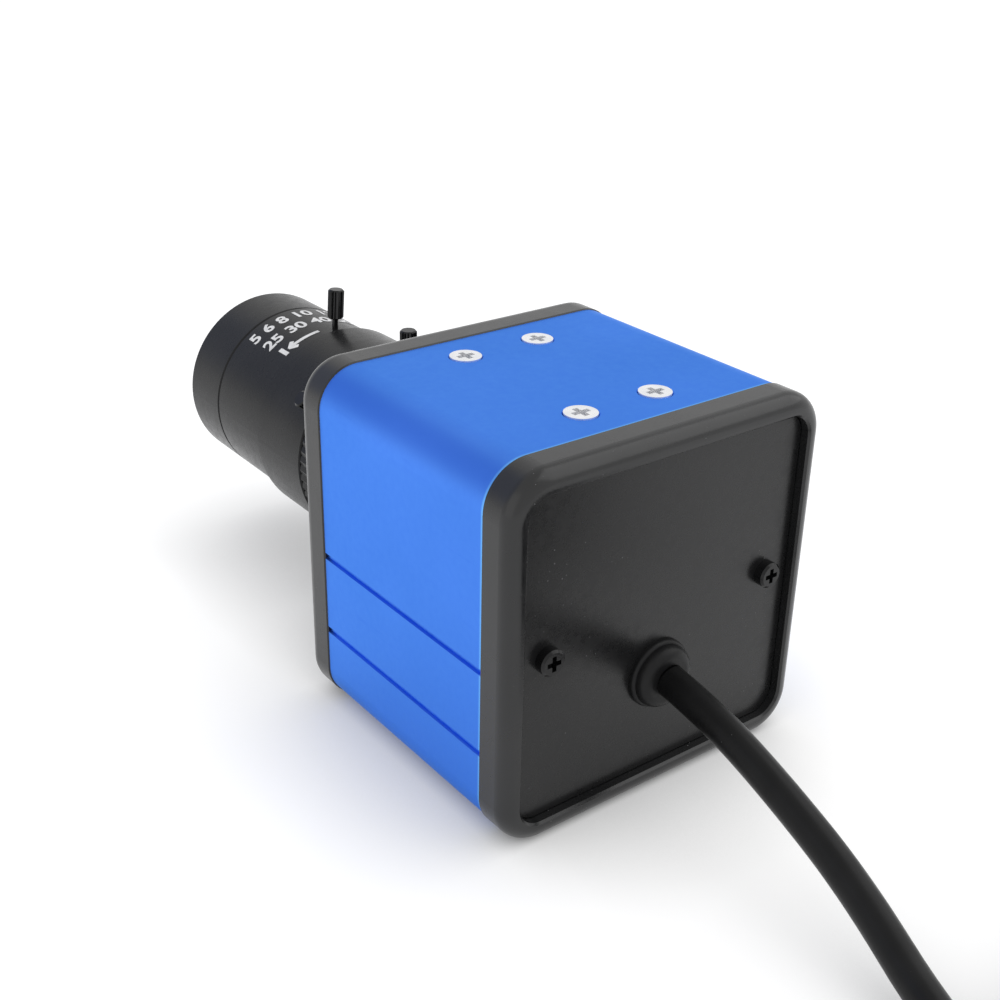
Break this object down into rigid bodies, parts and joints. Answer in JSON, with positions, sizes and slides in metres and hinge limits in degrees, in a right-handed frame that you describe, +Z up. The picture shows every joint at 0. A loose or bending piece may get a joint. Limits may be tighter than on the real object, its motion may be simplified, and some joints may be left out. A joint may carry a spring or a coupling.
{
  "type": "usb camera",
  "caption": "Box camera with a square blue case, black end bezels, a varifocal lens with locking screws, and a USB cable.",
  "frame": {"origin": "centre of the tripod thread's mouth, on the surface that the camera stands on", "axes": "+Z up, the lens points along -Y and the cable leaves along +Y, +X to the camera's left as seen from behind it"},
  "size_m": [0.092, 0.2706, 0.061],
  "materials": {
    "case_blue": "satin anodised",
    "black_moulding": "fine satin",
    "black_plate": "fine matt",
    "black_screw": "gloss black",
    "silver_screw": "bright plated",
    "plain_aluminium": "milled",
    "brass": "turned",
    "steel": "turned",
    "board": "lacquered",
    "chip": "matt",
    "ivory_plastic": "smooth",
    "lens_black": "satin black anodised",
    "glass": "coated",
    "grommet_rubber": "satin",
    "cable_jacket": "satin",
    "plug_body": "fine texture",
    "contacts": "gilt",
    "tie_plastic": "smooth"
  },
  "bodies": {
    "root": {"housing_shell": "case_blue", "rear_bezel": "black_moulding", "front_bezel": "black_moulding", "rear_plate": "black_plate", "front_plate": "black_plate", "rear_screws": "black_screw", "front_screws": "black_screw", "top_screws": "silver_screw", "bottom_screws": "silver_screw", "top_nut_plate": "plain_aluminium", "tripod_plate": "plain_aluminium", "board_standoffs": "brass", "board_screws": "steel", "sensor_board": "board", "image_sensor": "chip", "controller_chip": "chip", "board_connector": "ivory_plastic", "cs_holder": "lens_black", "holder_screws": "steel", "ir_filter": "glass", "lens_mount_barrel": "lens_black", "lens_barrel": "lens_black", "front_ring": "lens_black", "front_lens": "glass", "retaining_ring": "lens_black", "iris_unit": "lens_black", "rear_lens": "glass", "rear_retainer": "lens_black", "cable_grommet": "grommet_rubber", "strain_tie": "tie_plastic", "inner_lead": "cable_jacket", "lead_wires": "cable_jacket", "lead_plug": "ivory_plastic", "cable_run": "cable_jacket", "cable_coil": "cable_jacket", "cable_ties": "tie_plastic", "cable_tail": "cable_jacket", "plug_overmould": "plug_body", "plug_shell": "silver_screw", "plug_tongue": "ivory_plastic", "plug_contacts": "contacts"},
    "zoom": {"zoom_ring": "lens_black"},
    "zoom_lock": {"zoom_lock_screw": "black_screw"},
    "focus": {"focus_ring": "lens_black"},
    "focus_lock": {"focus_lock_screw": "black_screw"},
    "iris": {"iris_ring": "lens_black"},
    "iris_lock": {"iris_lock_screw": "black_screw"},
    "variator": {"variator_cell": "lens_black", "variator_lens": "glass", "variator_pin": "steel"},
    "focus_group": {"focus_cell": "lens_black", "focus_lens": "glass", "focus_pin": "steel"}
  },
  "joints": [
    {"name": "zoom_turn", "type": "hinge", "parent": "root", "child": "zoom", "pos_m": [0, -0.0752, 0.0305], "axis": [0, -1, 0], "range_deg": [-35, 40]},
    {"name": "focus_turn", "type": "hinge", "parent": "root", "child": "focus", "pos_m": [0, -0.0468, 0.0305], "axis": [0, -1, 0], "range_deg": [-45, 45]},
    {"name": "iris_turn", "type": "hinge", "parent": "root", "child": "iris", "pos_m": [0, -0.0409, 0.0305], "axis": [0, -1, 0], "range_deg": [-30, 30]},
    {"name": "variator_slide", "type": "slide", "parent": "root", "child": "variator", "axis": [0, -1, 0], "range_m": [-0.0063, 0.0072]},
    {"name": "focus_slide", "type": "slide", "parent": "root", "child": "focus_group", "axis": [0, -1, 0], "range_m": [-0.0017, 0.0017]},
    {"name": "zoom_lock_turn", "type": "hinge", "parent": "zoom", "child": "zoom_lock", "pos_m": [0, -0.0692, 0.0305], "axis": [-0.0698, 0, 0.9976], "range_deg": [0, 360]},
    {"name": "focus_lock_turn", "type": "hinge", "parent": "focus", "child": "focus_lock", "pos_m": [0, -0.0458, 0.0305], "axis": [0.788, 0, 0.6157], "range_deg": [0, 360]},
    {"name": "iris_lock_turn", "type": "hinge", "parent": "iris", "child": "iris_lock", "pos_m": [0, -0.0416, 0.0305], "axis": [0, 0, 1], "range_deg": [0, 360]}
  ],
  "couplings": [
    {"joint": "variator_slide", "follows": "zoom_turn", "m_per_rad": 0.01},
    {"joint": "focus_slide", "follows": "focus_turn", "m_per_rad": 0.002}
  ]
}
